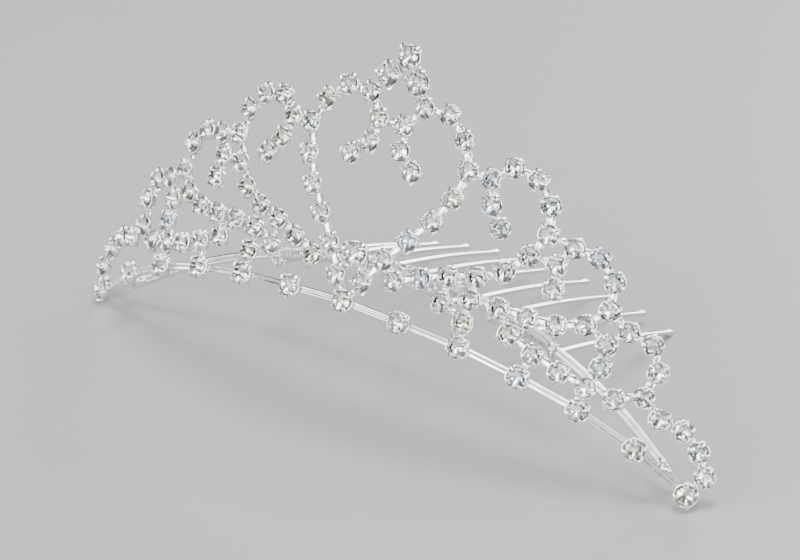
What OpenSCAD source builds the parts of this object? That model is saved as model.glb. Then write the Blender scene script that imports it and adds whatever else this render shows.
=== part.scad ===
// Tiara comb: chains of claw-set stones soldered to a curved front band, with a wire hair comb behind.
// The jewelled front is drawn flat, as it lies when it is soldered, and then bent round a leaning cylinder.
// A flat place is [along, up]: along the bend from the middle, and up the leaning cylinder.
// Right-hand chains are drawn, and the left-hand ones are their mirror image.
// The part stands on its band's two ends and on the tips of the outer teeth, at Z = 0.

/* [Bend of the front] */
// Radius of the cylinder that the front is bent round
bend_r = 89; // [86:0.5:92]
// Lean of the cylinder's axis back from upright, in degrees
lean = 29; // [28.5:0.1:29.5]

/* [Stones and cups] */
// Diameter of an ordinary stone at its girdle
stone_d = 2.6; // [2.3:0.1:2.6]
// Outer diameter of an ordinary cup
cup_d = 3.1; // [3:0.05:3.15]
// Height of a cup's wall
cup_h = 1.1; // [1:0.05:1.2]
// Size of the four large stones against an ordinary one
large = 1.2; // [1.1:0.05:1.25]
// Size of the front band's stones against an ordinary one
band_size = 1.1; // [1:0.02:1.12]
// Diameter of a claw
claw_d = 0.4; // [0.3:0.05:0.45]
// Height of the claws above a cup's back
claw_h = 1.7; // [1.6:0.05:1.8]

/* [Links and spacer bars] */
// Width of the links between cups
link_w = 1; // [0.7:0.05:1.2]
// Thickness of the links
link_t = 0.5; // [0.4:0.05:0.6]
// Width of the spacer bars on the front band
bar_w = 1.15; // [0.9:0.05:1.3]
// Thickness of the spacer bars
bar_t = 0.7; // [0.5:0.05:0.8]
// Width of the groove along each spacer bar
groove_w = 0.3; // [0.2:0.05:0.4]

/* [Comb] */
// Radius of the comb bar's arc
comb_r = 83.3; // [82.5:0.1:84]
// Half of the distance between the comb bar's ends
comb_half = 48; // [47.5:0.1:48.5]
// Lean of the comb bar's arc back from upright, in degrees
comb_lean = 27.6; // [27:0.1:28]
// Diameter of each of the comb bar's two wires
bar_wire_d = 0.75; // [0.7:0.05:0.8]
// Distance between neighbouring teeth, along the bar
tooth_pitch = 5.5; // [5.3:0.1:5.7]
// Diameter of a tooth
tooth_d = 0.9; // [0.7:0.05:0.95]
// Length of a tooth behind the bar
tooth_len = 33.4; // [30:0.2:34]
// Radius that each tooth is bent to
tooth_r = 250; // [150:10:400]
// Thickness of the winding round the bar
winding_t = 0.3; // [0.2:0.05:0.35]
// Diameter of the wires that carry the comb
strut_d = 0.9; // [0.7:0.05:1]

/* [Hidden] */
$fn = 32;
silver = [0.84, 0.85, 0.87];
crystal = [0.90, 0.94, 0.98];

// Columns of a chain: its number of stones, how its spacing opens up along it,
// and the flat places that it runs through, from its free end
band_half = [7, 1, [[0, 12.9], [19.5, 11.7], [38.5, 8.1], [47.3, 5], [55.7, 0.9]]];
heart = [12, 1.09, [[5.3, 33.2], [1.8, 37.1], [4.3, 42.1], [9.2, 42.2], [13.7, 36.2], [11, 28.3],
    [5.1, 20.8], [2.2, 16.2]]];
inner_scroll = [13, 1.06, [[20.6, 29.4], [17.3, 34.4], [19.6, 37.9], [24.8, 36.8], [27.6, 31], [22.5, 23.5],
    [14.1, 20.6], [7.1, 17.8]]];
middle_scroll = [12, 1.08, [[30.2, 23.4], [29.9, 27.8], [32.6, 29.9], [37.7, 27.8], [38.3, 21.9], [32, 18.7],
    [19.6, 18.7], [15, 17.1]]];
outer_scroll = [11, 1.1, [[39.5, 14.8], [39.7, 18.5], [42.6, 20.7], [46.8, 18.7], [47, 13.2], [42.8, 11.1],
    [38.3, 11.6], [32.2, 13.1], [25.7, 15.6]]];
end_sweep = [4, 1, [[49.3, 10.1], [52.6, 9.6], [56.1, 6.8], [57.6, 3.9]]];
// The three stones of the peak, and the single stones at the heart's foot and over the band
peak_at = [[-2.6, 45.4], [0, 48.6], [2.6, 45.4]];
foot_at = [0, 19.9];
band_link_at = [18.9, 15.2];

curve_steps = 24;
function curve_point(a, b, c, d, t) =
    0.5 * (2 * b + (c - a) * t + (2 * a - 5 * b + 4 * c - d) * t * t + (3 * b - a - 3 * c + d) * t * t * t);
// A smooth curve through the points p
function smooth(p) =
    let (last = len(p) - 1,
         q = concat([2 * p[0] - p[1]], p, [2 * p[last] - p[last - 1]]))
    [for (i = [0:last - 1]) for (k = [0:curve_steps - 1])
        curve_point(q[i], q[i + 1], q[i + 2], q[i + 3], k / curve_steps), p[last]];
// The length of a curve up to each of its points
function run(c) =
    [for (i = 0, s = 0; i < len(c); s = s + (i + 1 < len(c) ? norm(c[i + 1] - c[i]) : 0), i = i + 1) s];
// The flat places of a chain's stones
function places(chain) =
    let (n = chain[0], c = smooth(chain[2]), s = run(c), whole = s[len(s) - 1],
         along = [for (i = [0:len(c) - 1]) [s[i], c[i][0]]],
         up = [for (i = [0:len(c) - 1]) [s[i], c[i][1]]])
    [for (i = [0:n - 1]) let (d = whole * pow(i / (n - 1), chain[1])) [lookup(d, along), lookup(d, up)]];
function flipped(p) = [for (a = p) [-a[0], a[1]]];
function direction(a, b) = atan2(b[1] - a[1], b[0] - a[0]);
// The way the chain runs at stone i
function heading(p, i) = direction(p[max(i - 1, 0)], p[min(i + 1, len(p) - 1)]);

right_band = places(band_half);
band_at = concat([for (i = [band_half[0] - 1:-1:1]) [-right_band[i][0], right_band[i][1]]], right_band);
heart_at = places(heart);
inner_at = places(inner_scroll);
middle_at = places(middle_scroll);
outer_at = places(outer_scroll);
sweep_at = places(end_sweep);

// Cups and stones, measured from a cup's back
cup_back = 0.9;
floor_t = 0.25;
pocket_foot = 0.3;
rim_t = 0.2;
girdle_h = 1.15;
girdle_t = 0.12;
table_d = 0.58 * stone_d;
stone_gap = 0.07;
crown_over_claw = 0.05;
// Links and spacers start inside the cups' walls, a little above their backs
embed = 0.35;
link_up = 0.12;
groove_deep = 0.2;
groove_end = 0.1;

// Where the cylinder and the comb stand, with the table at zero and the origin under the part's middle
bend_front = 18.9;
middle_y = 13.83;
front_up = 0.28;
comb_y = 1.1;
comb_z = 2.74;

// The place on the bent front of a flat place, and a distance out from it
function on_front(p, out = 0) =
    let (a = p[0] / bend_r * 180 / PI, r = bend_r + out, n = bend_r - bend_front - r * cos(a))
    [r * sin(a), n * cos(lean) + p[1] * sin(lean), p[1] * cos(lean) - n * sin(lean) + front_up];
module standing() {
    translate([0, -middle_y, 0]) children();
}
// Carries a child to a flat place on the bent front, with +Z out of the stone's face
module bent(p) {
    standing() translate(on_front(p)) rotate([-lean, 0, 0]) rotate([0, 0, p[0] / bend_r * 180 / PI])
        rotate([90, 0, 0]) children();
}
// A round wire with chamfered ends, which reach a little past the two places
module rod(from, to, d) {
    run = to - from;
    flat = 0.25 * d;
    past = 0.4 * d;
    chamfer = 0.15 * d;
    standing() translate(from) rotate([0, acos(run[2] / norm(run)), atan2(run[1], run[0])])
        rotate_extrude($fn = 24)
            polygon([[0, -past], [flat, -past], [d / 2, -chamfer], [d / 2, norm(run) + chamfer],
                [flat, norm(run) + past], [0, norm(run) + past]]);
}
// A claw cup and the stone in it, with the cup's back at zero
module cup(size) {
    pocket_rim = cup_d / 2 - rim_t;
    scale(size) {
        rotate_extrude()
            polygon([[0, 0], [cup_d / 2, 0], [cup_d / 2, cup_h], [pocket_rim, cup_h],
                [pocket_foot, floor_t], [0, floor_t]]);
        for (a = [45:90:315]) rotate([0, 0, a])
            translate([cup_d / 2, 0, floor_t]) cylinder(d = claw_d, h = claw_h - floor_t, $fn = 16);
    }
}
module stone(size) {
    r = stone_d / 2;
    scale(size) rotate([0, 0, 22.5]) rotate_extrude($fn = 8)
        polygon([[0, floor_t + stone_gap], [r, girdle_h], [r, girdle_h + girdle_t],
            [table_d / 2, claw_h + crown_over_claw], [0, claw_h + crown_over_claw]]);
}
// Stands a child on the line between two cups, with X along it and the back of the links at zero
module between(a, b) {
    bent((a + b) / 2) rotate([0, 0, direction(a, b)]) translate([0, 0, link_up - cup_back]) children();
}
function reach(a, b, size) = norm(b - a) - cup_d * size + 2 * embed;
module link(a, b, size) {
    between(a, b) translate([-reach(a, b, size) / 2, -link_w / 2, 0]) cube([reach(a, b, size), link_w, link_t]);
}
module spacer(a, b) {
    long = reach(a, b, band_size);
    groove = long - 2 * embed - 2 * groove_end;
    between(a, b) difference() {
        translate([-long / 2, -bar_w / 2, 0]) cube([long, bar_w, bar_t]);
        translate([-groove / 2, -groove_w / 2, bar_t - groove_deep]) cube([groove, groove_w, bar_t]);
    }
}
module cups(p, size = 1) {
    for (i = [0:len(p) - 1])
        bent(p[i]) translate([0, 0, -cup_back * size]) rotate([0, 0, heading(p, i)]) cup(size);
}
module stones(p, size = 1) {
    color(crystal) for (i = [0:len(p) - 1])
        bent(p[i]) translate([0, 0, -cup_back * size]) rotate([0, 0, heading(p, i)]) stone(size);
}
module chain(p, size = 1) {
    color(silver) union() {
        cups(p, size);
        for (i = [0:len(p) - 2]) link(p[i], p[i + 1], size);
    }
}
module front_band() {
    color(silver) union() {
        cups(band_at, band_size);
        for (i = [0:len(band_at) - 2]) spacer(band_at[i], band_at[i + 1]);
    }
}

// The comb bar is two wires side by side, on an arc from one end of the front to the other
comb_span = asin(comb_half / comb_r);
wire_gap = 0.66;
bar_half = (wire_gap + bar_wire_d) / 2;
seat = 0.06;
winding_half = bar_half + seat + winding_t;
winding_deep = bar_wire_d / 2 + seat + winding_t;
winding_end = 0.1;
// The teeth cross under the bar
tooth_count = 10;
tooth_step = tooth_pitch / comb_r * 180 / PI;
tooth_below = bar_half + tooth_d / 2 + 2 * seat;
tooth_front = 1.2;
tooth_bend = tooth_len / tooth_r * 180 / PI;
tooth_dip = 20;
tip_d = tooth_d + 0.1;
function tooth_angle(i) = (i - (tooth_count + 1) / 2) * tooth_step;

// A place at an angle along the comb bar's arc, out from it, and back along the teeth
function on_comb(a, out = 0, back = 0) =
    let (z = (comb_r + out) * cos(a) - comb_r * cos(comb_span))
    [(comb_r + out) * sin(a), comb_y + back * cos(comb_lean) + z * sin(comb_lean),
        comb_z - back * sin(comb_lean) + z * cos(comb_lean)];
// Sweeps a profile, with X out from the arc and Y along the teeth, along a stretch of the bar
module arc_sweep(from, to) {
    standing() translate([0, comb_y, comb_z]) rotate([-comb_lean, 0, 0])
        translate([0, 0, -comb_r * cos(comb_span)]) rotate([90, 0, 0]) rotate([0, 0, 90 - to])
            rotate_extrude(angle = to - from, $fn = 96) translate([comb_r, 0]) children();
}
module comb_bar() {
    color(silver) arc_sweep(-comb_span, comb_span)
        for (side = [-1, 1]) translate([side * wire_gap / 2, 0]) circle(d = bar_wire_d, $fn = 24);
}
module comb_winding() {
    half_gap = ((tooth_pitch - tooth_d) / 2 - winding_end) / comb_r * 180 / PI;
    color(silver) for (i = [1:tooth_count - 1])
        let (a = (tooth_angle(i) + tooth_angle(i + 1)) / 2)
        arc_sweep(a - half_gap, a + half_gap) difference() {
            square([2 * winding_half, 2 * winding_deep], center = true);
            square([2 * (bar_half + seat), bar_wire_d + 2 * seat], center = true);
        }
}
// A tooth runs back from before the bar and curves down to a rounded tip
module tooth(i) {
    front = tooth_front / tooth_r * 180 / PI;
    color(silver) standing() translate(on_comb(tooth_angle(i), -tooth_below))
        rotate([tooth_bend / 2 - tooth_dip, 0, 0]) translate([0, 0, -tooth_r]) rotate([0, -90, 0]) {
            rotate([0, 0, -front]) rotate_extrude(angle = front + tooth_bend, $fn = 96)
                translate([tooth_r, 0]) circle(d = tooth_d, $fn = 24);
            rotate([0, 0, tooth_bend]) translate([tooth_r, 0, 0]) sphere(d = tip_d, $fn = 24);
        }
}
// Wires carry the comb: one from the heart's foot, and one from the band near each end
middle_strut_at = [3.6, 18.4];
middle_strut_angle = 1.4;
end_strut_at = [51.4, 3.1];
end_strut_angle = comb_span - 1;
strut_back = link_up - cup_back - strut_d / 2 - seat;
module middle_strut() {
    color(silver) rod(on_front(middle_strut_at, strut_back),
        on_comb(middle_strut_angle, 0, -winding_deep - strut_d / 2 - seat), strut_d);
}
module end_strut(side) {
    at = [side * end_strut_at[0], end_strut_at[1]];
    color(silver) rod(on_front(at, strut_back),
        on_comb(side * end_strut_angle, 0, -(bar_wire_d + strut_d) / 2 - seat), strut_d);
}

front_band();
stones(band_at, band_size);  // front_band_stones
chain(heart_at);  // heart_right
stones(heart_at);  // heart_right_stones
chain(flipped(heart_at));  // heart_left
stones(flipped(heart_at));  // heart_left_stones
chain(peak_at, large);  // peak
stones(peak_at, large);  // peak_stones
chain([foot_at], large);  // heart_foot
stones([foot_at], large);  // heart_foot_stone
chain(inner_at);  // inner_scroll_right
stones(inner_at);  // inner_scroll_right_stones
chain(flipped(inner_at));  // inner_scroll_left
stones(flipped(inner_at));  // inner_scroll_left_stones
chain(middle_at);  // middle_scroll_right
stones(middle_at);  // middle_scroll_right_stones
chain(flipped(middle_at));  // middle_scroll_left
stones(flipped(middle_at));  // middle_scroll_left_stones
chain(outer_at);  // outer_scroll_right
stones(outer_at);  // outer_scroll_right_stones
chain(flipped(outer_at));  // outer_scroll_left
stones(flipped(outer_at));  // outer_scroll_left_stones
chain(sweep_at);  // end_sweep_right
stones(sweep_at);  // end_sweep_right_stones
chain(flipped(sweep_at));  // end_sweep_left
stones(flipped(sweep_at));  // end_sweep_left_stones
chain([band_link_at]);  // band_link_right
stones([band_link_at]);  // band_link_right_stone
chain(flipped([band_link_at]));  // band_link_left
stones(flipped([band_link_at]));  // band_link_left_stone
comb_bar();
comb_winding();
middle_strut();
end_strut(1);  // end_strut_right
end_strut(-1);  // end_strut_left
tooth(1);  // tooth_1
tooth(2);  // tooth_2
tooth(3);  // tooth_3
tooth(4);  // tooth_4
tooth(5);  // tooth_5
tooth(6);  // tooth_6
tooth(7);  // tooth_7
tooth(8);  // tooth_8
tooth(9);  // tooth_9
tooth(10);  // tooth_10
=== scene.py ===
"""Dresses the construction of a tiara comb: claw cups, cut stones, wires, winding, solder and a studio."""

import math
from collections import namedtuple

import bmesh
import bpy
from bpy.props import FloatProperty, FloatVectorProperty, IntProperty, PointerProperty
from mathutils import Matrix, Vector
from mathutils.kdtree import KDTree


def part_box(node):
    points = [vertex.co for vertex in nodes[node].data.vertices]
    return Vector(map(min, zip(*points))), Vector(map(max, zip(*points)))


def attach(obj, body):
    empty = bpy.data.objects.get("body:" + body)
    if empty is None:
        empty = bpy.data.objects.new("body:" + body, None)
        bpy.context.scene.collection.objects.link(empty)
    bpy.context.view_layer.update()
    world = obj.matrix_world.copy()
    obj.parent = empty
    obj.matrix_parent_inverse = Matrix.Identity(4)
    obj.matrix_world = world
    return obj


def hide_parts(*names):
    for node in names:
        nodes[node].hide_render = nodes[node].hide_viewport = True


bl_info = {
    "name": "Tiara Comb",
    "version": (1, 0, 0),
    "blender": (4, 5, 0),
    "location": "View3D > Sidebar > Tiara",
    "description": "Claw-set stone chains, wire hair comb and studio for a tiara comb",
    "category": "Object",
}

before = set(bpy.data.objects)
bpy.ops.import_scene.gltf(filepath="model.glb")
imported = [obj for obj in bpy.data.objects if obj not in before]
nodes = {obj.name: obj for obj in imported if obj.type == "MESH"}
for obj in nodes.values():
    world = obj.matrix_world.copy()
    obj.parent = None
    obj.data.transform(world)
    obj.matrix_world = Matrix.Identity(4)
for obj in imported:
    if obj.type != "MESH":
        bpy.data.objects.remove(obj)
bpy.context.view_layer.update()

MM = 0.001
MERGE_DISTANCE = 0.0005 * MM
# An ordinary stone of the construction, which tells the size and the place of each seat
BUILT_GIRDLE = 2.6 * MM
BUILT_TABLE_HEIGHT = 1.75 * MM

SIDES = ("right", "left")
CURVES = ("heart", "inner_scroll", "middle_scroll", "outer_scroll", "end_sweep")
SCROLLS = [f"{curve}_{side}" for curve in CURVES for side in SIDES]
# The node of each chain's cups, or of a single cup, and the node of the stones in them
CUP_NODES = {name: name + "_stones" for name in ["front_band", "peak"] + SCROLLS}
CUP_NODES |= {name: name + "_stone" for name in ("heart_foot", "band_link_right", "band_link_left")}
TEETH = [f"tooth_{i}" for i in range(1, 11)]
STRUTS = ["middle_strut", "end_strut_right", "end_strut_left"]

# Where a stone sits: the middle of its cup's back, the way its table faces, the way its chain runs,
# and its size against an ordinary one
Seat = namedtuple("Seat", "back face heading size")


def length(name, millimetres, description):
    """A length as a property, given in millimetres."""
    return FloatProperty(name=name, description=description, default=millimetres * MM, unit="LENGTH")


def angle(name, degrees, description):
    """An angle as a property, given in degrees."""
    return FloatProperty(name=name, description=description, default=math.radians(degrees), subtype="ANGLE")


def colour(name, default, description):
    """A colour as a property."""
    return FloatVectorProperty(name=name, description=description, default=default, subtype="COLOR")


class CupSizes(bpy.types.PropertyGroup):
    """Sizes of the claw cups and of the links between them"""
    width: length("Cup width", 3.2, "Outer width of an ordinary cup")
    rim: length("Rim height", 1.14, "Height of the cup's rim beside a claw")
    dip: length("Rim dip", 0.24, "How far the rim dips between two claws")
    claw_width: length("Claw width", 0.82, "Width of a claw at its shoulder")
    claw_thickness: length("Claw thickness", 0.24, "Thickness of a claw at its shoulder")
    link_width: length("Link width", 1.45, "Width of a link between two cups")
    link_thickness: length("Link thickness", 0.52, "Thickness of a link")
    link_overlap: length("Link overlap", 0.6, "How far a link's two ends together reach into its cups")
    link_lift: length("Link lift", 0.38, "Height of a link's middle above the cups' backs")
    spacer_width: length("Spacer width", 1.02, "Width of a spacer bar, beside ordinary cups")
    spacer_thickness: length("Spacer thickness", 0.6, "Thickness of a spacer bar, beside ordinary cups")
    bead_gap: length("Soldered gap", 1.15, "Widest gap between cups that solder bridges")


class StoneSizes(bpy.types.PropertyGroup):
    """Cut of the stones, measured from the back of a cup"""
    girdle: length("Girdle width", 2.72, "Width of an ordinary stone")
    table: FloatProperty(name="Table share", description="Width of the table against the girdle",
                         default=0.56, subtype="FACTOR")
    culet_height: length("Culet height", 0.34, "Height of the stone's lowest point")
    girdle_height: length("Girdle height", 1.15, "Height of the girdle's lower edge")
    girdle_thickness: length("Girdle thickness", 0.1, "Thickness of the girdle")
    table_height: length("Table height", 1.76, "Height of the table")
    tilt: angle("Tilt", 3.5, "How far a hand-set stone may lean in its cup")
    seed: IntProperty(name="Seed", description="Seed of the stones' turns and leans", default=7)


class WireSizes(bpy.types.PropertyGroup):
    """Sizes of the comb's wires"""
    comb_radius: length("Comb radius", 83.3, "Radius of the comb bar's arc")
    comb_reach: length("Comb reach", 48, "Half of the distance between the bar's ends")
    comb_lean: angle("Comb lean", 27.6, "Lean of the bar's arc back from upright")
    bar_wire: length("Bar wire", 0.75, "Diameter of each of the bar's two wires")
    bar_spacing: length("Bar spacing", 0.66, "Distance between the bar's two wires")
    tooth_wire: length("Tooth wire", 0.9, "Diameter of a tooth")
    tooth_tip: length("Tooth tip", 1.16, "Diameter of a tooth's rounded tip")
    tooth_bend: length("Tooth bend", 250, "Radius that a tooth is bent to")
    tooth_drop: length("Tooth drop", 1.275, "Distance of a tooth's middle below the bar's middle")
    strut_wire: length("Strut wire", 0.9, "Diameter of the wires that carry the comb")
    winding_wire: length("Winding wire", 0.3, "Diameter of the fine binding wire")
    winding_pitch: length("Winding pitch", 0.34, "Distance between two turns of the winding")
    lash_reach: length("Lash reach", 0.66, "How far beside a tooth its lashing crosses the bar")


class Finishes(bpy.types.PropertyGroup):
    """Colours of the metal, the stones and the studio"""
    silver: colour("Silver", (0.90, 0.905, 0.92), "Bright plating of the cups and links")
    wire: colour("Wire", (0.74, 0.75, 0.77), "Plating of the comb's drawn wires")
    # The plating's random dull patches, and also painted shade towards the cups' backs and the links' ends
    tarnish_and_shade: colour("Tarnish", (0.30, 0.30, 0.32), "Plating where it is duller")
    stone: colour("Stone", (0.97, 0.985, 1.0), "Body colour of the clear stones")
    foil_cool: colour("Cool foil", (0.90, 0.945, 1.0), "Foil behind a stone that looks blue")
    foil_warm: colour("Warm foil", (1.0, 0.975, 0.86), "Foil behind a stone that looks yellow")
    floor: colour("Floor", (0.34, 0.34, 0.345), "Pale studio floor")


class StudioSizes(bpy.types.PropertyGroup):
    """Camera and floor"""
    lens: FloatProperty(name="Lens", description="Focal length of the camera, in millimetres", default=225.0)
    distance: length("Camera distance", 731.79, "Distance from the camera to the part")
    azimuth: angle("Azimuth", 36.84, "Camera's turn to the right of the front")
    elevation: angle("Elevation", 29.52, "Camera's height above the level view")
    roll: angle("Roll", -1.48, "Camera's turn about its own line of sight")
    floor_width: length("Floor width", 3000, "Width of the floor")


def settings(name):
    """The user's settings of one kind."""
    return getattr(bpy.context.scene, "tiara_" + name)


# Node trees

class Wiring:
    """A node tree as it is wired up, where each call adds one node"""

    def __init__(self, tree):
        self.tree = tree

    def add(self, kind, inputs=None, **choices):
        """Adds a node, with its choices set, and each input linked to a socket or set to a value."""
        node = self.tree.nodes.new(kind)
        for choice, value in choices.items():
            setattr(node, choice, value)
        for key, value in (inputs or {}).items():
            socket = node.inputs[key]
            if isinstance(value, bpy.types.NodeSocket):
                self.link(value, socket)
            else:
                socket.default_value = value
        return node

    def out(self, kind, inputs=None, **choices):
        """Adds a node and gives its first output."""
        return self.add(kind, inputs, **choices).outputs[0]

    def link(self, source, target):
        self.tree.links.new(source, target)

    def math(self, operation, a, b):
        return self.out("ShaderNodeMath", {0: a, 1: b}, operation=operation)

    def vector(self, operation, inputs):
        return self.add("ShaderNodeVectorMath", inputs, operation=operation).outputs

    def triple(self, x, y, z):
        return self.out("ShaderNodeCombineXYZ", {"X": x, "Y": y, "Z": z})

    def attribute(self, name, kind):
        found = self.add("GeometryNodeInputNamedAttribute", {"Name": name}, data_type=kind)
        return found.outputs["Attribute"]

    def copies(self, shape, points, turn, scale):
        """Copies of a shape at points, not yet real."""
        info = self.add("GeometryNodeObjectInfo", {"Object": shape})
        return self.out("GeometryNodeInstanceOnPoints", {
            "Points": points, "Instance": info.outputs["Geometry"], "Rotation": turn, "Scale": scale})

    def made_real(self, geometry):
        return self.out("GeometryNodeRealizeInstances", {"Geometry": geometry})

    def covered(self, geometry, finish, **where):
        """The geometry with a material on all of it, or on the faces that a Selection picks."""
        return self.out("GeometryNodeSetMaterial", {"Geometry": geometry, "Material": finish, **where})


def shape_tree(name, inputs):
    """A Geometry Nodes tree with its named inputs, and the wiring, input node and output node."""
    tree = bpy.data.node_groups.new(name, "GeometryNodeTree")
    tree.interface.new_socket("Geometry", in_out="INPUT", socket_type="NodeSocketGeometry")
    for label, kind in inputs.items():
        tree.interface.new_socket(label, in_out="INPUT", socket_type="NodeSocket" + kind)
    tree.interface.new_socket("Geometry", in_out="OUTPUT", socket_type="NodeSocketGeometry")
    wiring = Wiring(tree)
    return wiring, wiring.add("NodeGroupInput").outputs, wiring.add("NodeGroupOutput").inputs


def finish_tree(wiring, geometry, metal, output):
    """Ends a tree: instances made real, and the material set."""
    wiring.link(wiring.covered(wiring.made_real(geometry), metal), output)
    return wiring.tree


def facing(wiring):
    """The rotation that stands an instance on its seat."""
    return wiring.out("FunctionNodeAxesToRotation", {
        "Primary Axis": wiring.attribute("face", "FLOAT_VECTOR"),
        "Secondary Axis": wiring.attribute("heading", "FLOAT_VECTOR"),
    }, primary_axis="Z", secondary_axis="X")


def chain_tree():
    """Cups at a line's points, and links along its edges."""
    wiring, given, output = shape_tree("Claw chain", {
        "Cup": "Object", "Link": "Object", "Cup Width": "Float", "Link Overlap": "Float",
        "Link Lift": "Float", "Material": "Material"})
    size = wiring.attribute("size", "FLOAT")
    cups = wiring.copies(given["Cup"], given["Geometry"], facing(wiring), size)
    ends = wiring.add("GeometryNodeInputMeshEdgeVertices").outputs
    along = wiring.vector("SUBTRACT", {0: ends["Position 2"], 1: ends["Position 1"]})[0]
    face = wiring.attribute("face", "FLOAT_VECTOR")
    capture = wiring.add("GeometryNodeCaptureAttribute", {"Geometry": given["Geometry"]}, domain="EDGE")
    for kind, label, value in (("VECTOR", "Along", along), ("VECTOR", "Face", face),
                               ("FLOAT", "Size", size)):
        capture.capture_items.new(kind, label)
        wiring.link(value, capture.inputs[label])
    caught = capture.outputs
    lift = wiring.vector("SCALE", {0: caught["Face"], "Scale": given["Link Lift"]})[0]
    middles = wiring.out("GeometryNodeMeshToPoints", {"Mesh": caught["Geometry"]}, mode="EDGES")
    lifted = wiring.out("GeometryNodeSetPosition", {"Geometry": middles, "Offset": lift})
    length_along = wiring.vector("LENGTH", {0: caught["Along"]})["Value"]
    cup_width = wiring.math("MULTIPLY", given["Cup Width"], caught["Size"])
    open_length = wiring.math("SUBTRACT", length_along, cup_width)
    link_length = wiring.math("ADD", open_length, given["Link Overlap"])
    turn = wiring.out("FunctionNodeAxesToRotation", {
        "Primary Axis": caught["Along"], "Secondary Axis": caught["Face"]},
        primary_axis="X", secondary_axis="Z")
    links = wiring.copies(given["Link"], lifted, turn,
                          wiring.triple(link_length, caught["Size"], caught["Size"]))
    both = wiring.add("GeometryNodeJoinGeometry")
    for part in (links, cups):
        wiring.link(part, both.inputs[0])
    return finish_tree(wiring, both.outputs[0], given["Material"], output[0])


def stones_tree():
    """A cut stone at each point, turned and leant a little by chance, with foil on its pavilion."""
    wiring, given, output = shape_tree("Set stones", {
        "Stone": "Object", "Tilt": "Float", "Seed": "Int", "Crystal": "Material", "Foil": "Material"})
    tilt = given["Tilt"]
    back = wiring.math("MULTIPLY", tilt, -1.0)
    chance = wiring.out("FunctionNodeRandomValue", {
        "Min": wiring.triple(back, back, 0.0), "Max": wiring.triple(tilt, tilt, 2 * math.pi / FACETS),
        "Seed": given["Seed"]}, data_type="FLOAT_VECTOR")
    lean = wiring.out("FunctionNodeEulerToRotation", {0: chance})
    turn = wiring.out("FunctionNodeRotateRotation", {0: facing(wiring), 1: lean}, rotation_space="LOCAL")
    stones = wiring.copies(given["Stone"], given["Geometry"], turn, wiring.attribute("size", "FLOAT"))
    tone = wiring.add("FunctionNodeRandomValue", {"Seed": wiring.math("ADD", given["Seed"], 1.0)},
                      data_type="FLOAT")
    toned = wiring.out("GeometryNodeStoreNamedAttribute", {
        "Geometry": stones, "Name": "tone", "Value": tone.outputs["Value"]},
        data_type="FLOAT", domain="INSTANCE")
    clear = wiring.covered(wiring.made_real(toned), given["Crystal"])
    foiled = wiring.covered(clear, given["Foil"], Selection=wiring.attribute("foil", "BOOLEAN"))
    wiring.link(foiled, output[0])
    return wiring.tree


def bead_tree():
    """A bead of solder at each point, stretched between the two cups that it joins."""
    wiring, given, output = shape_tree("Solder beads", {"Bead": "Object", "Material": "Material"})
    beads = wiring.copies(given["Bead"], given["Geometry"], facing(wiring),
                          wiring.attribute("stretch", "FLOAT_VECTOR"))
    return finish_tree(wiring, beads, given["Material"], output[0])


def wire_tree():
    """A round wire along a line, as thick at each point as the line says."""
    wiring, given, output = shape_tree("Drawn wire", {"Sides": "Int", "Material": "Material"})
    curve = wiring.out("GeometryNodeMeshToCurve", {"Mesh": given["Geometry"]})
    ring = wiring.out("GeometryNodeCurvePrimitiveCircle", {"Resolution": given["Sides"], "Radius": 1.0})
    wire = wiring.out("GeometryNodeCurveToMesh", {
        "Curve": curve, "Profile Curve": ring, "Scale": wiring.attribute("radius", "FLOAT"),
        "Fill Caps": True})
    smooth = wiring.out("GeometryNodeSetShadeSmooth", {"Geometry": wire})
    return finish_tree(wiring, smooth, given["Material"], output[0])


def placed(name, data):
    """A new object in the scene."""
    made = bpy.data.objects.new(name, data)
    bpy.context.scene.collection.objects.link(made)
    return made


def make_piece(name, mesh, tree, values, slot, *replaced):
    """Makes a piece from a line by a tree, sets it on the root body and hides the parts that it replaces.
    Its slot is not used.
    """
    holder = placed(name + "_path", mesh)
    modifier = holder.modifiers.new("Build", "NODES")
    modifier.node_group = tree
    for item in tree.interface.items_tree:
        if item.in_out == "INPUT" and item.name in values:
            modifier[item.identifier] = values[item.name]
    evaluated = holder.evaluated_get(bpy.context.evaluated_depsgraph_get())
    solid = bpy.data.meshes.new_from_object(evaluated)
    solid.name = name
    holder.modifiers.clear()
    bpy.data.objects.remove(holder)
    bpy.data.meshes.remove(mesh)
    if not solid.polygons:
        raise RuntimeError(f"{name} came out empty")
    piece = placed(name, solid)
    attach(piece, "root")
    if replaced:
        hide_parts(*replaced)


def store(mesh, name, values, kind="FLOAT"):
    """Stores a number, or a vector, at each of a mesh's points."""
    field = "value" if kind == "FLOAT" else "vector"
    for item, value in zip(mesh.attributes.new(name, kind, "POINT").data, values):
        setattr(item, field, value)


# Seats, read from the frame's stones

def stone_seats(node):
    """The seats of a stones node, in order along their chain."""
    bm = bmesh.new()
    bm.from_mesh(nodes[node].data)
    bmesh.ops.remove_doubles(bm, verts=bm.verts, dist=MERGE_DISTANCE)
    seen = set()
    found = []
    for first in bm.faces:
        if first.index in seen:
            continue
        seen.add(first.index)
        faces = [first]
        for face in faces:
            for edge in face.edges:
                for other in edge.link_faces:
                    if other.index not in seen:
                        seen.add(other.index)
                        faces.append(other)
        found.append(one_seat(faces))
    bm.free()
    return headed(in_order(found))


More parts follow.
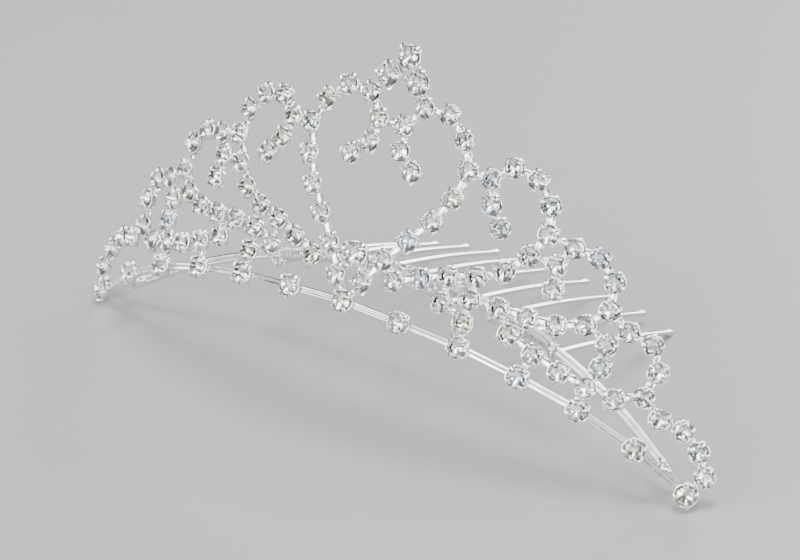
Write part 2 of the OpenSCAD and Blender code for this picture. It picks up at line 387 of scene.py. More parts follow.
def one_seat(faces):
    """A stone's seat from its faces. Its table is its largest flat."""
    flats = {}
    for face in faces:
        key = tuple(round(x, 2) for x in face.normal)
        flats.setdefault(key, []).append(face)
    table = max(flats.values(), key=lambda flat: sum(f.calc_area() for f in flat))
    area = sum(f.calc_area() for f in table)
    face_out = sum((f.normal * f.calc_area() for f in table), Vector()).normalized()
    middle = sum((f.calc_center_median() * f.calc_area() for f in table), Vector()) / area
    corners = {v for f in faces for v in f.verts}
    width = 2 * max((v.co - middle).cross(face_out).length for v in corners)
    size = round(width / BUILT_GIRDLE, 2)
    return Seat(middle - face_out * BUILT_TABLE_HEIGHT * size, face_out, None, size)


def in_order(found):
    """The seats along their chain, from the end that stands higher."""
    walks = []
    for start in found:
        walk = [start]
        left = [seat for seat in found if seat is not start]
        while left:
            nearest = min(left, key=lambda seat: (seat.back - walk[-1].back).length)
            walk.append(nearest)
            left = [seat for seat in left if seat is not nearest]
        length = sum((b.back - a.back).length for a, b in zip(walk, walk[1:]))
        walks.append((round(length / MM, 1), -round(start.back.z / MM, 1), start.back.x, walk))
    return min(walks, key=lambda row: row[:3])[3]


def headed(walk):
    """The same seats, each with the way that its chain runs there."""
    last = len(walk) - 1
    seats = []
    for i, seat in enumerate(walk):
        way = walk[min(i + 1, last)].back - walk[max(i - 1, 0)].back if last else Vector((1, 0, 0))
        flat = way - seat.face * way.dot(seat.face)
        seats.append(seat._replace(heading=flat.normalized()))
    return seats


def seat_line(name, seats, stretches=None):
    """A line through the seats, which holds each one's face, heading and size, and any stretch."""
    mesh = bpy.data.meshes.new(name)
    edges = [(i, i + 1) for i in range(len(seats) - 1)]
    mesh.from_pydata([seat.back for seat in seats], edges, [])
    store(mesh, "face", [seat.face for seat in seats], "FLOAT_VECTOR")
    store(mesh, "heading", [seat.heading for seat in seats], "FLOAT_VECTOR")
    store(mesh, "size", [seat.size for seat in seats])
    if stretches:
        store(mesh, "stretch", stretches, "FLOAT_VECTOR")
    return mesh


# Small shapes that are repeated

# The angles, in degrees, past which an edge of each shape stays sharp
CUP_SHARP = 48
LINK_SHARP = 40
SPACER_SHARP = 50
BEAD_SHARP = 60
# How far from its middle a link or spacer of length 1 starts to get painted shade, which deepens up to its
# ends where it meets the cups
LINK_SHADE_START = 0.3
SPACER_SHADE_START = 0.45


def mirrored(*half):
    """A whole section, from the points of its right half from the bottom up."""
    return half + tuple((-u, v) for u, v in reversed(half) if u)


def painted_end_shade(start):
    """Painted shade that grows from none at a distance from the middle to full at the ends, where the piece
    meets its cups.
    """
    return lambda p: (abs(p.x) - start) / (0.5 - start)


def template(name, bm, sharp=None, painted_shade=None):
    """A shape to be repeated, smooth up to a sharp angle or all flat, with its painted shade at each point.
    """
    bmesh.ops.recalc_face_normals(bm, faces=bm.faces)
    mesh = bpy.data.meshes.new(name)
    bm.to_mesh(mesh)
    bm.free()
    # The painted shade, from none to full, that darkens the plating's colour where parts meet
    if painted_shade:
        store(mesh, "painted_shade", [min(max(painted_shade(vertex.co), 0.0), 1.0) for vertex in mesh.vertices])
    if sharp is None:
        mesh.shade_flat()
    else:
        mesh.shade_smooth()
        mesh.set_sharp_from_angle(angle=math.radians(sharp))
    return bpy.data.objects.new(name, mesh)


def skin(bm, rings, first_tip=None, last_tip=None):
    """Faces between rings of points, with each end closed by a tip or a cap."""
    rows = [[bm.verts.new(p) for p in ring] for ring in rings]
    count = len(rows[0])
    for a, b in zip(rows, rows[1:]):
        for i in range(count):
            j = (i + 1) % count
            bm.faces.new((a[i], a[j], b[j], b[i]))
    for row, tip in ((rows[0], first_tip), (rows[-1], last_tip)):
        if tip is None:
            bm.faces.new(row)
        else:
            top = bm.verts.new(tip)
            for i in range(count):
                bm.faces.new((row[i], row[(i + 1) % count], top))


# Columns: radius against the cup's, height in millimetres, and 1 where the height follows the rim
CUP_PROFILE = (
    (0.26, 0.10, 0), (0.34, 0.02, 0), (0.62, 0.00, 0), (0.73, 0.07, 0), (0.86, 0.36, 0), (0.965, 0.72, 0),
    (1.0, -0.10, 1), (1.0, -0.03, 1), (0.975, 0.0, 1), (0.90, 0.0, 1), (0.875, -0.06, 1), (0.86, -0.22, 1),
    (0.55, 0.40, 0),
)
CUP_SIDES = 32
# Heights of the middle of the cup's hollow back and of its floor, in millimetres
CUP_BACK_HEIGHT = 0.1
CUP_FLOOR_HEIGHT = 0.3
CLAW_COUNT = 4
# Columns: radius and height of the claw's middle in millimetres, width and thickness against the shoulder's
CLAW_PATH = (
    (1.44, 0.16, 0.75, 0.8), (1.56, 0.50, 0.90, 0.9), (1.66, 0.86, 1.00, 1.0), (1.71, 1.12, 1.00, 1.0),
    (1.66, 1.32, 0.96, 1.0), (1.50, 1.44, 0.88, 1.0), (1.31, 1.51, 0.74, 0.95), (1.15, 1.61, 0.54, 0.85),
    (1.04, 1.70, 0.32, 0.7),
)
# How far a claw's point stands past the end of its path, in millimetres
CLAW_POINT = 0.06
# A claw's section, as shares of half its width and half its thickness
CLAW_SECTION = mirrored((0, -0.8), (0.85, -0.7), (1, 0.4), (0.7, 0.85), (0, 1))


def claw_cup():
    """One cup: a shallow round collet with a scalloped rim and four claws folded over the stone."""
    cup = settings("cup")
    radius = cup.width / 2
    bm = bmesh.new()
    rings = []
    for share, height, on_rim in CUP_PROFILE:
        ring = []
        for i in range(CUP_SIDES):
            angle = 2 * math.pi * i / CUP_SIDES
            between_claws = (1 + math.cos(CLAW_COUNT * angle)) / 2
            rim = cup.rim - cup.dip * between_claws if on_rim else 0
            out = radius * share
            ring.append((out * math.cos(angle), out * math.sin(angle), height * MM + rim))
        rings.append(ring)
    skin(bm, rings, first_tip=(0, 0, CUP_BACK_HEIGHT * MM), last_tip=(0, 0, CUP_FLOOR_HEIGHT * MM))
    for k in range(CLAW_COUNT):
        claw(bm, 2 * math.pi * (k + 0.5) / CLAW_COUNT, cup)
    # Painted shade: darker towards the cup's back, where it meets the links and the frame, and none from the
    # rim up
    return template("claw_cup", bm, CUP_SHARP, lambda p: 1 - p.z / cup.rim)


def claw(bm, angle, cup):
    """A claw that rises from the cup's wall and folds over the stone's crown."""
    out = Vector((math.cos(angle), math.sin(angle), 0))
    side = Vector((-math.sin(angle), math.cos(angle), 0))
    path = [out * (r * MM) + Vector((0, 0, z * MM)) for r, z, _, _ in CLAW_PATH]
    rings = []
    for i, (_, _, width, thick) in enumerate(CLAW_PATH):
        way = (path[min(i + 1, len(path) - 1)] - path[max(i - 1, 0)]).normalized()
        outward = side.cross(way) * -1
        if outward.dot(out + Vector((0, 0, 1))) < 0:
            outward.negate()
        rings.append([path[i] + side * (u * width * cup.claw_width / 2)
                      + outward * (v * thick * cup.claw_thickness / 2) for u, v in CLAW_SECTION])
    tip_way = (path[-1] - path[-2]).normalized()
    skin(bm, rings, last_tip=path[-1] + tip_way * (CLAW_POINT * MM))


# Columns: place along a link of length 1, and its width and thickness against the full ones
LINK_STATIONS = ((-0.5, 0.92, 0.9), (-0.3, 0.86, 0.9), (-0.16, 0.94, 0.97), (0, 1.0, 1.0),
                 (0.16, 0.94, 0.97), (0.3, 0.86, 0.9), (0.5, 0.92, 0.9))
# A link's section, as shares of half its width and half its thickness
LINK_SECTION = mirrored((0.8, -0.9), (1, -0.3), (0.97, 0.35), (0.72, 0.85), (0.3, 1.0))


def cup_link():
    """A short rounded link of length 1, a little wider in its middle."""
    cup = settings("cup")
    bm = bmesh.new()
    skin(bm, [[(x, u * w * cup.link_width / 2, v * t * cup.link_thickness / 2) for u, v in LINK_SECTION]
              for x, w, t in LINK_STATIONS])
    # Painted shade towards the link's ends, where it meets its cups
    return template("cup_link", bm, LINK_SHARP, painted_end_shade(LINK_SHADE_START))


# A spacer's section: two rounded ridges with a groove between them, and a shallow groove below
SPACER_SECTION = mirrored((0, -0.7), (0.4, -0.95), (0.84, -0.85), (1, -0.35), (1, 0.3), (0.86, 0.78),
                          (0.6, 1), (0.36, 0.86), (0.2, 0.5), (0, 0.36))
SPACER_STATIONS = (-0.5, -0.46, -0.2, 0, 0.2, 0.46, 0.5)


def spacer_bar():
    """A straight grooved bar of length 1."""
    cup = settings("cup")
    bm = bmesh.new()
    skin(bm, [[(x, u * cup.spacer_width / 2, v * cup.spacer_thickness / 2) for u, v in SPACER_SECTION]
              for x in SPACER_STATIONS])
    # Painted shade towards the spacer's ends, where it meets its cups
    return template("spacer_bar", bm, SPACER_SHARP, painted_end_shade(SPACER_SHADE_START))


BEAD_SIDES = 16
BEAD_RINGS = 9
# A bead between two cups, in millimetres: how far it reaches into each, and half its width and thickness,
# and how far its middle is above the cups' backs
BEAD_REACH = 0.42
BEAD_WIDTH = 0.66
BEAD_THICKNESS = 0.44
BEAD_HEIGHT = 0.4


def solder_bead():
    """A round bead of radius 1."""
    bm = bmesh.new()
    bmesh.ops.create_uvsphere(bm, u_segments=BEAD_SIDES, v_segments=BEAD_RINGS, radius=1.0)
    return template("solder_bead", bm, BEAD_SHARP)


FACETS = 8
# How far the stars reach from the table to the girdle, and the lower halves from the girdle to the culet
STAR_REACH = 0.45
LOWER_HALF_REACH = 0.72


def cut_stone():
    """A round brilliant cut: table, stars, kites, upper halves, girdle, lower halves and pavilion mains."""
    stone = settings("stone")
    bm = bmesh.new()
    foil = bm.faces.layers.bool.new("foil")
    radius = stone.girdle / 2
    table_radius = radius * stone.table
    top = stone.girdle_height + stone.girdle_thickness
    step = 2 * math.pi / FACETS

    def ring(r, z, half=0.0):
        return [bm.verts.new((r * math.cos((k + half) * step), r * math.sin((k + half) * step), z))
                for k in range(FACETS)]

    table = ring(table_radius, stone.table_height)
    crown_slope = (stone.table_height - top) / (radius - table_radius)
    star_radius = table_radius + (radius - table_radius) * STAR_REACH
    star_height = stone.table_height - (star_radius * math.cos(step / 2) - table_radius) * crown_slope
    stars = ring(star_radius, star_height, 0.5)
    upper, lower = [(ring(radius, z), ring(radius, z, 0.5)) for z in (top, stone.girdle_height)]
    culet = bm.verts.new((0, 0, stone.culet_height))
    main_slope = (stone.girdle_height - stone.culet_height) / radius
    half_radius = radius * (1 - LOWER_HALF_REACH)
    halves = ring(half_radius, stone.culet_height + half_radius * math.cos(step / 2) * main_slope, 0.5)

    bm.faces.new(table)
    for k in range(FACETS):
        n = (k + 1) % FACETS
        star, half = stars[k], halves[k]
        a, b, c = upper[0][k], upper[1][k], upper[0][n]
        d, e, f = lower[0][k], lower[1][k], lower[0][n]
        crown = ((table[k], star, table[n]), (table[k], stars[k - 1], a, star), (star, a, b), (star, b, c))
        for corners in (*crown, (a, d, e, b), (b, e, f, c)):
            bm.faces.new(corners)
        for corners in ((culet, halves[k - 1], d, half), (half, d, e), (half, e, f)):
            bm.faces.new(corners)[foil] = True
    return template("cut_stone", bm)


# Wires, along lines of points

def wire_line(name, runs):
    """A line for each run of points, which holds the wire's radius at each point."""
    mesh = bpy.data.meshes.new(name)
    points, edges, radii = [], [], []
    for run, thick in runs:
        edges += [(i, i + 1) for i in range(len(points), len(points) + len(run) - 1)]
        points += run
        radii += thick
    mesh.from_pydata(points, edges, [])
    store(mesh, "radius", radii)
    return mesh


class CombArc:
    """The comb bar's leaning arc, placed by the frame's own bar"""

    def __init__(self, wire):
        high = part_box("comb_bar")[1]
        self.radius = wire.comb_radius
        self.out = Vector((0, math.sin(wire.comb_lean), math.cos(wire.comb_lean)))
        self.back = Vector((0, math.cos(wire.comb_lean), -math.sin(wire.comb_lean)))
        half, thick = wire.bar_spacing / 2, wire.bar_wire / 2
        top = Vector((0, high.y - half * self.out.y - thick, high.z - half * self.out.z - thick))
        self.middle = top - self.out * self.radius
        self.span = math.asin(wire.comb_reach / wire.comb_radius)

    def at(self, angle, out=0.0, back=0.0):
        way = Vector((1, 0, 0)) * math.sin(angle) + self.out * math.cos(angle)
        return self.middle + way * (self.radius + out) + self.back * back


BAR_STEPS = 96
WIRE_SIDES = 20
BINDING_SIDES = 6


def bar_wires(arc, wire):
    """The bar's two parallel wires, cut off square."""
    runs = []
    for side in (-1, 1):
        run = [arc.at(arc.span * (2 * i / BAR_STEPS - 1), side * wire.bar_spacing / 2)
               for i in range(BAR_STEPS + 1)]
        runs.append((run, [wire.bar_wire / 2] * len(run)))
    return wire_line("comb_bar_line", runs)


# Points on each straight and each round part of a turn, and the winding's clearance from the bar
STRAIGHT_STEPS = 3
ROUND_STEPS = 7
WINDING_GAP = 0.01 * MM
# How much lower the second turn round a tooth lies than the first, against the winding wire
SECOND_TURN = 0.8


def turn_points(arc, wire, front, back, following, drop):
    """One turn of the winding, down before the bar, under it, up behind it and over it."""
    high = wire.bar_spacing / 2
    low = -high - drop
    deep = (wire.bar_wire + wire.winding_wire) / 2 + WINDING_GAP
    points = []
    ways = ((front, back, high, low, -deep), (back, following, low, high, deep))
    for here, there, start, end, side in ways:
        for i in range(STRAIGHT_STEPS):
            points.append(arc.at(here, start + (end - start) * i / STRAIGHT_STEPS, side))
        for i in range(ROUND_STEPS):
            t = i / ROUND_STEPS
            points.append(arc.at(here + (there - here) * t, end + side * math.sin(math.pi * t),
                                 side * math.cos(math.pi * t)))
    return points


def winding_turns(arc, wire):
    """Columns: angle before the bar, angle behind it, and how far the turn drops to go under a tooth."""
    reach = wire.lash_reach / arc.radius
    pitch = wire.winding_pitch / arc.radius
    drop = wire.tooth_drop + (wire.tooth_wire - wire.bar_spacing - wire.bar_wire) / 2 + 2 * WINDING_GAP
    angles = [tooth_angle(node, arc, wire) for node in TEETH]
    turns = []
    for i, angle in enumerate(angles):
        turns.append((angle - reach, angle + reach, drop))
        turns.append((angle + reach, angle - reach, drop + SECOND_TURN * wire.winding_wire))
        if i + 1 < len(angles):
            start, end = angle + reach + pitch, angles[i + 1] - reach - pitch
            count = round((end - start) / pitch)
            step = (end - start) / count
            turns += [(start + k * step, start + (k + 0.5) * step, 0.0) for k in range(count + 1)]
    return turns


def winding_line(arc, wire):
    """The binding wire's line, turn after turn along the bar."""
    turns = winding_turns(arc, wire)
    points = []
    for turn, following in zip(turns, turns[1:] + [turns[-1]]):
        points += turn_points(arc, wire, turn[0], turn[1], following[0], turn[2])
    return wire_line("winding_line", [(points, [wire.winding_wire / 2] * len(points))])


def tooth_angle(node, arc, wire):
    """Where along the bar's arc a tooth of the frame crosses it."""
    low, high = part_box(node)
    return math.asin((low.x + high.x) / 2 / (arc.radius - wire.tooth_drop))


TOOTH_STEPS = 28
TIP_STEPS = 7
# How long the swelling before a tooth's tip is, and how far its root is chamfered, against half the wire
TIP_LENGTH = 3.0
ROOT_CHAMFER = 0.35
# How small a round end gets before its cap closes it, against the tip of a tooth or the radius of a strut
TOOTH_CLOSING = 0.08
STRUT_CLOSING = 0.1


def tooth_ends(node, wire):
    """The ends of a tooth's middle line, read from the frame's tooth: before the bar, and inside its tip."""
    low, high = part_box(node)
    thick, tip = wire.tooth_wire / 2, wire.tooth_tip / 2
    x = (low.x + high.x) / 2
    end = Vector((x, high.y - tip, low.z + tip))
    rough = Vector((x, low.y, high.z - thick))
    slope = math.asin((rough.z - end.z) / (end - rough).length)
    root_slope = slope - (end - rough).length / 2 / wire.tooth_bend
    start = Vector((x, low.y + thick * math.sin(root_slope), high.z - thick * math.cos(root_slope)))
    return start, end


def bent_run(start, end, bend):
    """Points from one end of a tooth to the other, bowed upwards to a radius."""
    chord = end - start
    side = Vector((0, -chord.z, chord.y)).normalized()
    half_angle = math.asin(chord.length / 2 / bend)
    hub = (start + end) / 2 - side * (bend * math.cos(half_angle))
    along = chord.normalized()
    run = []
    for i in range(TOOTH_STEPS + 1):
        angle = half_angle * (2 * i / TOOTH_STEPS - 1)
        run.append(hub + side * (bend * math.cos(angle)) + along * (bend * math.sin(angle)))
    return run


def tooth_line(node, wire):
    """A tooth's line, from its chamfered root before the bar back to its rounded tip."""
    thick, tip = wire.tooth_wire / 2, wire.tooth_tip / 2
    start, end = tooth_ends(node, wire)
    run = bent_run(start, end, wire.tooth_bend)
    way = (run[-1] - run[-2]).normalized()
    run = run[:-2]
    radii = [thick] * len(run)
    gap = TIP_LENGTH * thick
    for i in range(TIP_STEPS + 1):
        reach = -gap + (gap + tip) * math.sin(math.pi / 2 * i / TIP_STEPS)
        run.append(end + way * reach)
        radii.append(tip_radius(reach, gap, thick, tip))
    blunt = ROOT_CHAMFER * thick
    run.insert(1, run[0] + (run[1] - run[0]).normalized() * blunt)
    radii.insert(0, thick - blunt)
    return wire_line(node + "_line", [(run, radii)])


def tip_radius(reach, gap, thick, tip):
    """The tip swells from the wire's thickness to a ball, and closes at its end."""
    if reach > 0:
        return max(math.sqrt(max(tip * tip - reach * reach, 0)), TOOTH_CLOSING * tip)
    return thick + (tip - thick) * (1 + reach / gap)


def rod_ends(node):
    """The two ends of a straight wire in the frame."""
    points = [v.co.copy() for v in nodes[node].data.vertices]
    far = max(points, key=lambda p: (p - points[0]).length)
    other = max(points, key=lambda p: (p - far).length)
    way = (other - far).normalized()
    middle = sum(points, Vector()) / len(points)
    reach = [(p - middle).dot(way) for p in points]
    return middle + way * min(reach), middle + way * max(reach)


def rounded_rod(start, end, thick):
    """The points and radii of a straight wire with round ends."""
    way = (end - start).normalized()
    angles = [math.pi / 2 * i / ROUND_STEPS for i in range(ROUND_STEPS + 1)]
    depths = [thick * (1 - math.cos(angle)) for angle in angles]
    radii = [thick * max(math.sin(angle), STRUT_CLOSING) for angle in angles]
    run = [start + way * depth for depth in depths] + [end - way * depth for depth in reversed(depths)]
    return run, radii + radii[::-1]


# Materials

def material(name, fixed):
    """A material, its wiring and its shader's inputs, with the fixed ones set."""
    found = bpy.data.materials.new(name)
    found.use_nodes = True
    found.node_tree.nodes.clear()
    wiring = Wiring(found.node_tree)
    shader = wiring.add("ShaderNodeBsdfPrincipled", fixed)
    wiring.add("ShaderNodeOutputMaterial", {"Surface": shader.outputs[0]})
    return found, wiring, shader.inputs


def noise(wiring, scale, detail=2.0):
    """Soft noise over the piece, so many patches to a metre."""
    place = wiring.add("ShaderNodeTexCoord").outputs["Object"]
    return wiring.add("ShaderNodeTexNoise", {
        "Vector": place, "Scale": scale, "Detail": detail}).outputs["Fac"]


def stored(wiring, name):
    """A value that the piece's mesh holds."""
    return wiring.add("ShaderNodeAttribute", attribute_name=name).outputs["Fac"]


def spread(wiring, value, low, high, start=0.3, end=0.7):
    """Maps a texture's values from one range to another."""
    return wiring.add("ShaderNodeMapRange", {
        "Value": value, "From Min": start, "From Max": end, "To Min": low, "To Max": high}).outputs["Result"]


# Which sockets of a mix node hold its two colours and its result
MIX_COLOURS = (6, 7)
MIX_RESULT = 2


def blend(wiring, share, *colours):
    """A colour between two, by a share."""
    inputs = {at: (*colour, 1) for at, colour in zip(MIX_COLOURS, colours)}
    mix = wiring.add("ShaderNodeMix", {"Factor": share, **inputs}, data_type="RGBA")
    return mix.outputs[MIX_RESULT]


# Columns: colour, lowest and highest roughness, how fine the grain is, and its depth in millimetres
PLATINGS = {
    "bright_plating": ("silver", 0.16, 0.28, 3400, 0.004),
    "solder": ("silver", 0.16, 0.30, 2400, 0.010),
    "drawn_wire": ("wire", 0.14, 0.26, 2600, 0.006),
    "binding_wire": ("wire", 0.16, 0.30, 2600, 0.004),
}
PATCH_SCALE = 700
# How much the painted shade adds to the random dull patches, and the sums where the darkening starts and is
# full
PAINTED_SHADE_SHARE = 0.55
DULL_AND_SHADE_START = 0.66
DULL_AND_SHADE_FULL = 1.2
BUMP_STRENGTH = 0.15
# The stones: refraction, how fine the grain is, the most roughness, the values of the grain where
# roughness starts and is full, and the foil's even roughness
REFRACTION = 1.62
STONE_GRAIN = 700
STONE_ROUGHNESS = 0.05
STONE_ROUGH_START = 0.45
STONE_ROUGH_FULL = 0.8
FOIL_ROUGHNESS = 0.06
# The floor: its clouds, how much they darken it, and its roughness
FLOOR_CLOUDS = 6
FLOOR_SHADE = 0.97
FLOOR_ROUGHNESS = 0.45


def silver(name):
    """Bright plating: duller patches at random, painted shade towards the cups' backs and the links' ends,
    and a fine uneven surface.
    """
    finish = settings("finish")
    base, rough_low, rough_high, grain, depth = PLATINGS[name]
    made, wiring, shader = material(name, {"Metallic": 1.0})
    patches = noise(wiring, PATCH_SCALE)
    fine = noise(wiring, grain)
    # Darkens the plating towards the tarnish colour by its random dull patches and by the painted shade
    dull_and_shade = wiring.math("ADD", wiring.math("MULTIPLY", stored(wiring, "painted_shade"), PAINTED_SHADE_SHARE), patches)
    dull_and_shade_share = spread(wiring, dull_and_shade, 0, 1, DULL_AND_SHADE_START, DULL_AND_SHADE_FULL)
    wiring.link(blend(wiring, dull_and_shade_share, getattr(finish, base), finish.tarnish_and_shade), shader["Base Color"])
    wiring.link(spread(wiring, fine, rough_low, rough_high), shader["Roughness"])
    bump = wiring.out("ShaderNodeBump", {"Height": fine, "Strength": BUMP_STRENGTH, "Distance": depth * MM})
    wiring.link(bump, shader["Normal"])
    return made


def crystal():
    """Clear glass of high refraction, a little uneven as moulded stones are."""
    body = (*settings("finish").stone, 1)
    made, wiring, shader = material("clear_crystal", {
        "Base Color": body, "IOR": REFRACTION, "Transmission Weight": 1.0})
    uneven = noise(wiring, STONE_GRAIN, 1.0)
    rough = spread(wiring, uneven, 0.0, STONE_ROUGHNESS, STONE_ROUGH_START, STONE_ROUGH_FULL)
    wiring.link(rough, shader["Roughness"])
    return made


def foil():
    """Mirror foil behind the stones, cool or warm by the stone's own tone."""
    finish = settings("finish")
    made, wiring, shader = material("stone_foil", {"Metallic": 1.0, "Roughness": FOIL_ROUGHNESS})
    tone = spread(wiring, stored(wiring, "tone"), 0, 1, 0.0, 1.0)
    wiring.link(blend(wiring, tone, finish.foil_cool, finish.foil_warm), shader["Base Color"])
    return made


def floor_finish():
    """The floor's pale, slightly cloudy finish."""
    pale = settings("finish").floor
    made, wiring, shader = material("studio_floor", {"Roughness": FLOOR_ROUGHNESS})
    clouds = spread(wiring, noise(wiring, FLOOR_CLOUDS, 3.0), 0, 1)
    darker = tuple(FLOOR_SHADE * c for c in pale)
    wiring.link(blend(wiring, clouds, pale, darker), shader["Base Color"])
    return made


# Operators: one for each group of like pieces, and one for the studio

class TIARA_OT_claw_chains(bpy.types.Operator):
    """Makes every chain of claw cups and links, and the grooved front band"""
    bl_idname = "tiara.claw_chains"
    bl_label = "Claw Chains"

    def execute(self, context):
        cup = settings("cup")
        tree = chain_tree()
        shapes = {"Cup": claw_cup(), "Cup Width": cup.width, "Link Overlap": cup.link_overlap,
                  "Link Lift": cup.link_lift, "Material": silver("bright_plating")}
        link, spacer = cup_link(), spacer_bar()
        for node, stones in CUP_NODES.items():
            line = seat_line(node + "_line", stone_seats(stones))
            shapes["Link"] = spacer if node == "front_band" else link
            make_piece(node + "_cups", line, tree, shapes, "silver_plate", node)
        return {"FINISHED"}


# How far the seeds of two nodes of stones are apart
SEED_STEP = 11


class TIARA_OT_cut_stones(bpy.types.Operator):
    """Makes every stone as a brilliant cut with foil behind it"""
    bl_idname = "tiara.cut_stones"
    bl_label = "Cut Stones"

    def execute(self, context):
        stone = settings("stone")
        tree = stones_tree()
        values = {"Stone": cut_stone(), "Tilt": stone.tilt, "Crystal": crystal(), "Foil": foil()}
        for i, node in enumerate(CUP_NODES.values()):
            line = seat_line(node + "_line", stone_seats(node))
            values["Seed"] = stone.seed + SEED_STEP * i
            make_piece(node + "_cut", line, tree, values, "crystal", node)
        return {"FINISHED"}


class TIARA_OT_solder(bpy.types.Operator):
    """Makes the beads of solder where one chain touches another"""
    bl_idname = "tiara.solder"
    bl_label = "Solder Beads"

    def execute(self, context):
        cup = settings("cup")
        seats = [(node, seat) for node, stones in CUP_NODES.items() for seat in stone_seats(stones)]
        beads = []
        for i, (node, a) in enumerate(seats):
            for other, b in seats[i + 1:]:
                way = b.back - a.back
                gap = way.length - cup.width * (a.size + b.size) / 2
                if node == other or gap > cup.bead_gap:
                    continue
                face = (a.face + b.face).normalized()
                heading = (way - face * way.dot(face)).normalized()
                shift = cup.width * (a.size - b.size) / 4
                spot = (a.back + b.back) / 2 + heading * shift + face * BEAD_HEIGHT * MM
                beads.append((Seat(spot, face, heading, 1.0),
                              (gap / 2 + BEAD_REACH * MM, BEAD_WIDTH * MM, BEAD_THICKNESS * MM)))
        line = seat_line("solder_line", *zip(*beads, *strut_beads()))
        shapes = {"Bead": solder_bead(), "Material": silver("solder")}
        make_piece("solder_beads", line, bead_tree(), shapes, "silver_plate")
        return {"FINISHED"}


# The metal that the struts are soldered to, and how far inside a strut's end the solder sits
STRUT_CARRIERS = ("comb_bar", "front_band", "heart_right")
STRUT_INSET = 0.5 * MM
# How far such a bead reaches past the gap, half its width and half its thickness, in millimetres
STRUT_BEAD = (0.3, 0.75, 0.65)


def strut_beads():
    """The seat and stretch of the solder at each end of each strut."""
    reach, width, thickness = STRUT_BEAD
    metal = [v.co for node in STRUT_CARRIERS for v in nodes[node].data.vertices]
    tree = KDTree(len(metal))
    for i, place in enumerate(metal):
        tree.insert(place, i)
    tree.balance()
    found = []
    for node in STRUTS:
        ends = rod_ends(node)
        for tip, other in (ends, ends[::-1]):
            along = (other - tip).normalized()
            inside = tip + along * STRUT_INSET
            way = tree.find(inside)[0] - inside
            heading = way.normalized()
            face = (along - heading * along.dot(heading)).normalized()
            found.append((Seat(inside + way / 2, face, heading, 1.0),
                          (way.length / 2 + reach * MM, width * MM, thickness * MM)))
    return found


class TIARA_OT_comb(bpy.types.Operator):
    """Makes the comb: its bar, winding, teeth and struts"""
    bl_idname = "tiara.comb"
    bl_label = "Wire Comb"

    def execute(self, context):
        wire = settings("wire")
        arc = CombArc(wire)
        tree = wire_tree()
        thick = {"Sides": WIRE_SIDES, "Material": silver("drawn_wire")}
        thin = {"Sides": BINDING_SIDES, "Material": silver("binding_wire")}
        make_piece("comb_bar_wires", bar_wires(arc, wire), tree, thick, "comb_wire", "comb_bar")
        make_piece("binding_wire", winding_line(arc, wire), tree, thin, "comb_wire", "comb_winding")
        for node in TEETH:
            make_piece(node + "_wire", tooth_line(node, wire), tree, thick, "comb_wire", node)
        for node in STRUTS:
            line = wire_line(node + "_line", [rounded_rod(*rod_ends(node), wire.strut_wire / 2)])
            make_piece(node + "_wire", line, tree, thick, "comb_wire", node)
        return {"FINISHED"}


# Columns: place, size and power of a soft light, each aimed at the part
SOFT_LIGHTS = {
    "key": ((-0.40, -0.62, 0.42), 0.55, 6.0),
    "near": ((0.25, -0.80, 0.39), 0.46, 3.8),
    "top": ((0.05, 0.10, 0.85), 0.50, 9.0),
    "side": ((0.65, 0.10, 0.32), 0.25, 2.5),
    "right": ((0.70, -0.34, 0.14), 0.30, 2.5),
    "left": ((-0.70, 0.05, 0.20), 0.25, 2.5),
    "back": ((-0.15, 0.85, 0.36), 0.36, 6.0),
    "back_low": ((0.30, 0.80, 0.12), 0.30, 3.0),
    "spark_left": ((-0.20, -0.50, 0.62), 0.045, 0.6),
    "spark_middle": ((0.05, -0.68, 0.50), 0.040, 0.5),
    "spark_right": ((0.55, -0.40, 0.50), 0.045, 0.6),
    "spark_back": ((0.30, 0.45, 0.55), 0.060, 0.8),
}
AIM = Vector((0, 0, 0.022))
# Columns: how steeply a direction points up, from straight down to straight up, and the grey seen there
SKY_STEPS = ((0.0, 0.60), (0.495, 0.50), (0.52, 0.30), (0.60, 0.07), (0.72, 0.14), (1.0, 0.34))
SKY_STRENGTH = 0.8
# How far right of and above the origin the camera looks, in millimetres, as it sees them
CAMERA_MIDDLE = (-6.50, 11.15)
SENSOR_WIDTH = 36.0
NEAREST_SEEN = 0.01
FARTHEST_SEEN = 20


class TIARA_OT_studio(bpy.types.Operator):
    """Makes the floor, the lights, the surroundings and the camera"""
    bl_idname = "tiara.studio"
    bl_label = "Studio"

    def execute(self, context):
        studio = settings("studio")
        floor(studio, floor_finish())
        for name, (place, size, power) in SOFT_LIGHTS.items():
            soft_light(name, Vector(place), size, power)
        surroundings()
        camera(studio)
        return {"FINISHED"}


def floor(studio, finish):
    """A flat square floor under the part."""
    half = studio.floor_width / 2
    mesh = bpy.data.meshes.new("floor")
    corners = [(-half, -half, 0), (half, -half, 0), (half, half, 0), (-half, half, 0)]
    mesh.from_pydata(corners, [], [(0, 1, 2, 3)])
    mesh.materials.append(finish)
    placed("floor", mesh)


def soft_light(name, place, size, power):
    """A round soft light, turned to the part."""
    data = bpy.data.lights.new(name, "AREA")
    data.shape = "DISK"
    data.size = size
    data.energy = power
    lamp = placed(name, data)
    lamp.location = place
    lamp.rotation_euler = (place - AIM).to_track_quat("Z", "Y").to_euler()


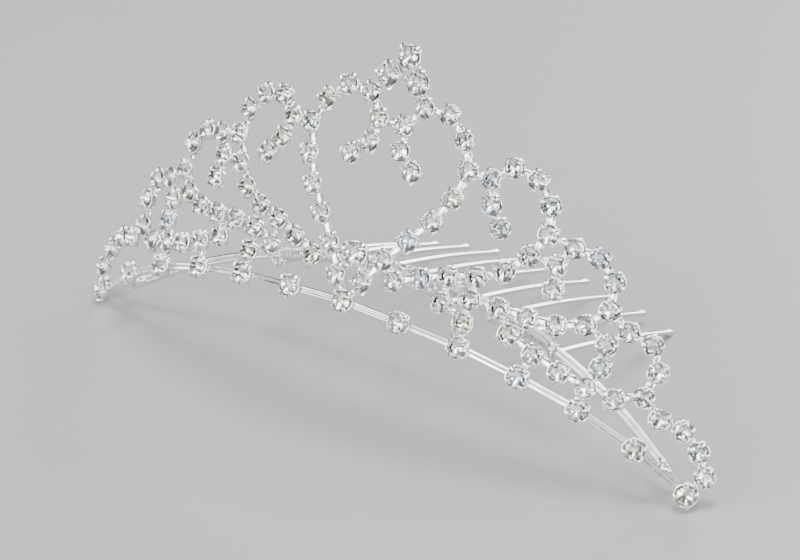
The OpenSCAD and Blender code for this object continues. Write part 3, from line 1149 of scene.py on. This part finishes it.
def surroundings():
    """A pale horizon with a darker sky above it, which gives the bright metal something to mirror."""
    world = bpy.data.worlds.new("studio")
    world.use_nodes = True
    tree = world.node_tree
    tree.nodes.clear()
    wiring = Wiring(tree)
    place = wiring.add("ShaderNodeTexCoord").outputs["Generated"]
    parts = wiring.add("ShaderNodeSeparateXYZ", {0: place})
    height = spread(wiring, parts.outputs["Z"], 0, 1, -1, 1)
    ramp = wiring.add("ShaderNodeValToRGB", {0: height})
    steps = ramp.color_ramp.elements
    while len(steps) < len(SKY_STEPS):
        steps.new(0.5)
    for step, (at, grey) in zip(steps, SKY_STEPS):
        step.position = at
        step.color = (grey, grey, grey, 1)
    back = wiring.out("ShaderNodeBackground", {"Color": ramp.outputs[0], "Strength": SKY_STRENGTH})
    wiring.add("ShaderNodeOutputWorld", {"Surface": back})
    bpy.context.scene.world = world


def camera(studio):
    """The camera, at the photograph's angle to the part."""
    data = bpy.data.cameras.new("camera")
    data.lens = studio.lens
    data.sensor_width = SENSOR_WIDTH
    data.clip_start = NEAREST_SEEN
    data.clip_end = FARTHEST_SEEN
    around = Matrix.Rotation(studio.azimuth, 3, "Z")
    look = around @ Vector((0, math.cos(studio.elevation), -math.sin(studio.elevation)))
    level = around @ Vector((1, 0, 0))
    rolled = Matrix.Rotation(-studio.roll, 3, look)
    right = rolled @ level
    up = right.cross(look)
    aim = right * (CAMERA_MIDDLE[0] * MM) + up * (CAMERA_MIDDLE[1] * MM)
    turn = Matrix((right, up, -look)).transposed()
    body = placed("camera", data)
    body.matrix_world = Matrix.Translation(aim - look * studio.distance) @ turn.to_4x4()
    bpy.context.scene.camera = body


PIECES = (TIARA_OT_claw_chains, TIARA_OT_cut_stones, TIARA_OT_solder, TIARA_OT_comb, TIARA_OT_studio)
GROUPS = {"cup": CupSizes, "stone": StoneSizes, "wire": WireSizes, "finish": Finishes, "studio": StudioSizes}


class TIARA_PT_panel(bpy.types.Panel):
    """Lists the pieces and their sizes"""
    bl_idname = "TIARA_PT_panel"
    bl_label = "Tiara Comb"
    bl_space_type = "VIEW_3D"
    bl_region_type = "UI"
    bl_category = "Tiara"

    def draw(self, context):
        for piece in PIECES:
            self.layout.operator(piece.bl_idname)
        for name, group in GROUPS.items():
            box = self.layout.box()
            for key in group.__annotations__:
                box.prop(settings(name), key)


CLASSES = (*GROUPS.values(), *PIECES, TIARA_PT_panel)


def register():
    for made in CLASSES:
        bpy.utils.register_class(made)
    for name, group in GROUPS.items():
        setattr(bpy.types.Scene, "tiara_" + name, PointerProperty(type=group))


def unregister():
    for name in GROUPS:
        delattr(bpy.types.Scene, "tiara_" + name)
    for made in reversed(CLASSES):
        bpy.utils.unregister_class(made)


def main():
    register()
    bpy.ops.tiara.claw_chains()
    bpy.ops.tiara.cut_stones()
    bpy.ops.tiara.solder()
    bpy.ops.tiara.comb()
    bpy.ops.tiara.studio()


if __name__ == "__main__":
    main()
